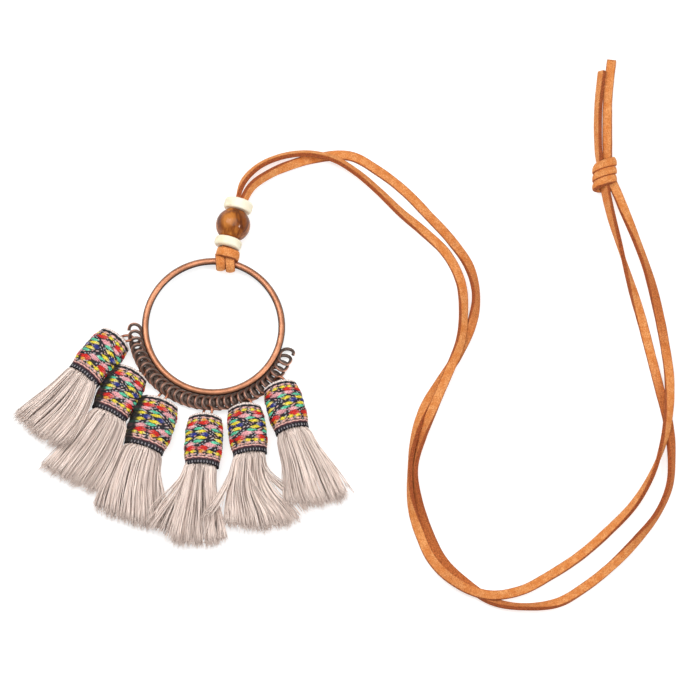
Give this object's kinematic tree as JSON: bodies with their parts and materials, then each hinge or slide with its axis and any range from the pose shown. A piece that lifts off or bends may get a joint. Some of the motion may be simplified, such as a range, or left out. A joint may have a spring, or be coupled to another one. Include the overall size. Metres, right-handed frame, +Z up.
{
  "type": "necklace",
  "caption": "Tassel necklace laid flat: wire hoop with a soldered spring coil, band-wrapped tassels on jump rings, beads and a long loop of flat suede lace knotted at its end.",
  "frame": {"origin": "middle of the hoop, on the surface the necklace lies on", "axes": "+Z up from that surface; +Y from the tassels towards the beads; the neck loop runs out to +X, +Y and -Y"},
  "size_m": [0.2329, 0.2011, 0.012],
  "materials": {
    "antique_copper": "antiqued copper plating, worn bright on top",
    "woven_band": "woven ribbon in many colours on navy",
    "fringe_yarn": "soft matt yarn",
    "cream_bead": "polished ivory-coloured",
    "varnished_wood": "varnished",
    "suede_lace": "suede, raw darker edges"
  },
  "bodies": {
    "root": {"hoop": "antique_copper", "lace_hitch": "suede_lace", "bead_lower": "cream_bead", "bead_wood": "varnished_wood", "bead_upper": "cream_bead", "lace_a": "suede_lace", "lace_b": "suede_lace", "lace_knot": "suede_lace", "tail_left": "suede_lace", "tail_right": "suede_lace", "jump_ring_1": "antique_copper", "band_1": "woven_band", "fringe_1": "fringe_yarn", "jump_ring_2": "antique_copper", "band_2": "woven_band", "fringe_2": "fringe_yarn", "jump_ring_3": "antique_copper", "band_3": "woven_band", "fringe_3": "fringe_yarn", "jump_ring_4": "antique_copper", "band_4": "woven_band", "fringe_4": "fringe_yarn", "jump_ring_5": "antique_copper", "band_5": "woven_band", "fringe_5": "fringe_yarn", "jump_ring_6": "antique_copper", "band_6": "woven_band", "fringe_6": "fringe_yarn"}
  },
  "joints": []
}
